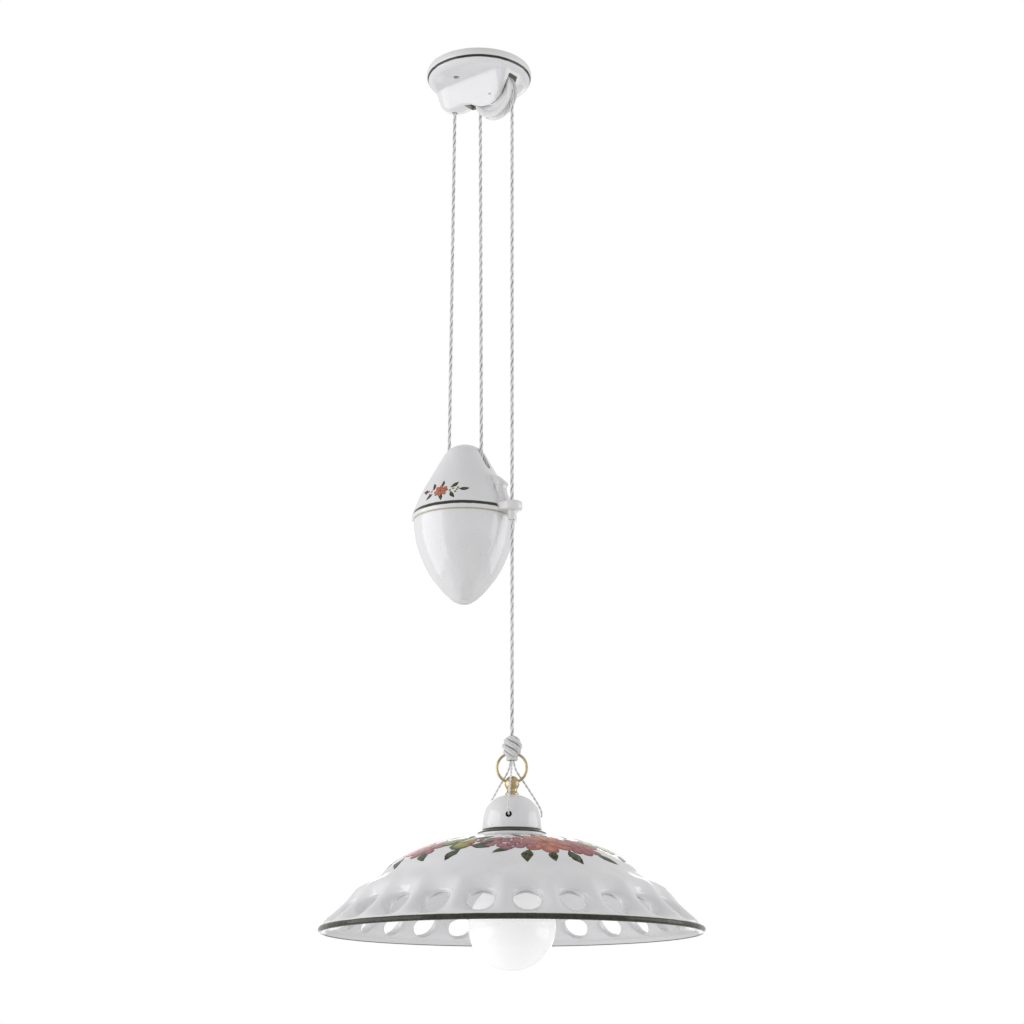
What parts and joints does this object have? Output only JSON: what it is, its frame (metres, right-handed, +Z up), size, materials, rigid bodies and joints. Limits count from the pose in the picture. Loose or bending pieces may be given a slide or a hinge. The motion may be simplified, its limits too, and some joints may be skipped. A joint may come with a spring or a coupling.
{
  "type": "rise and fall pendant",
  "caption": "Ceramic rise and fall pendant: ceiling rose with pulley, egg-shaped counterweight on a looped cord, and a pierced dish shade with a globe bulb.",
  "frame": {"origin": "centre of the ceiling rose on the ceiling, which is the centre of its bracket's two screw holes", "axes": "+Z up into the ceiling, +X from the counterweight's side towards the lamp's cord"},
  "size_m": [0.42, 0.42, 1.0955],
  "materials": {
    "white_glaze": "gloss",
    "steel": "satin",
    "brass": "polished",
    "white_plastic": "matte",
    "white_cord": "matte",
    "cork": "matte",
    "iron": "matte",
    "porcelain": "satin",
    "rubber": "matte",
    "opal_glass": "gloss",
    "bulb_aluminium": "satin"
  },
  "bodies": {
    "rose": {"ceiling_rose": "white_glaze", "ceiling_bracket": "steel", "rose_screws": "steel", "terminal_block": "white_plastic", "terminal_screws": "steel", "cord_anchor": "white_plastic", "rose_axle": "steel", "cord_inner_run": "white_cord", "cord_anchor_run": "white_cord", "cord_middle_run": "white_cord", "cord_lamp_run": "white_cord", "cord_rose_loop": "white_cord"},
    "rose_pulley": {"rose_pulley": "white_glaze", "rose_pulley_bush": "brass"},
    "counterweight": {"weight_cap": "white_glaze", "weight_egg": "white_glaze", "cork_ring": "cork", "ballast": "iron", "weight_yoke": "steel", "tie_rod": "steel", "tie_nuts": "steel", "weight_axle": "steel", "axle_clips": "steel", "guide_bush": "white_plastic", "cord_weight_loop": "white_cord"},
    "weight_pulley": {"weight_pulley": "white_glaze", "weight_pulley_bush": "brass"},
    "cord_end": {"cord_knot": "white_cord", "hanging_ring": "brass"},
    "lamp": {"hanging_eye": "brass", "conductor_1": "white_cord", "conductor_2": "white_cord", "conductor_3": "white_cord", "lamp_cup": "white_glaze", "cup_washer": "steel", "cup_nut": "steel", "lampholder_cap": "brass", "lampholder_body": "porcelain", "lampholder_shell": "brass", "lampholder_contact": "brass", "holder_washer": "cork", "shade_ring": "white_plastic", "cup_gasket": "rubber", "shade": "white_glaze", "bulb_glass": "opal_glass", "bulb_cap": "bulb_aluminium", "bulb_insulator": "porcelain", "bulb_contact": "brass"}
  },
  "joints": [
    {"name": "lamp_height", "type": "slide", "parent": "rose", "child": "cord_end", "axis": [0, 0, 1], "range_m": [-0.6, 0.15], "deforming": ["cord_lamp_run"]},
    {"name": "counterweight_height", "type": "slide", "parent": "rose", "child": "counterweight", "axis": [0, 0, 1], "range_m": [-0.075, 0.3], "deforming": ["cord_anchor_run", "cord_middle_run"]},
    {"name": "rose_pulley_spin", "type": "hinge", "parent": "rose", "child": "rose_pulley", "pos_m": [0.027, 0, -0.041], "axis": [0, 1, 0], "continuous": true},
    {"name": "weight_pulley_spin", "type": "hinge", "parent": "counterweight", "child": "weight_pulley", "pos_m": [-0.0185, 0, -0.533], "axis": [0, 1, 0], "continuous": true},
    {"name": "lamp_swing", "type": "hinge", "parent": "cord_end", "child": "lamp", "pos_m": [0.052, 0, -0.8915], "axis": [0.788, 0.6157, 0], "range_deg": [-15, 15], "deforming": ["conductor_1", "conductor_2", "conductor_3"]}
  ],
  "couplings": [
    {"joint": "counterweight_height", "follows": "lamp_height", "ratio": -0.5},
    {"joint": "rose_pulley_spin", "follows": "lamp_height", "rad_per_m": -40},
    {"joint": "weight_pulley_spin", "follows": "lamp_height", "rad_per_m": 20}
  ]
}
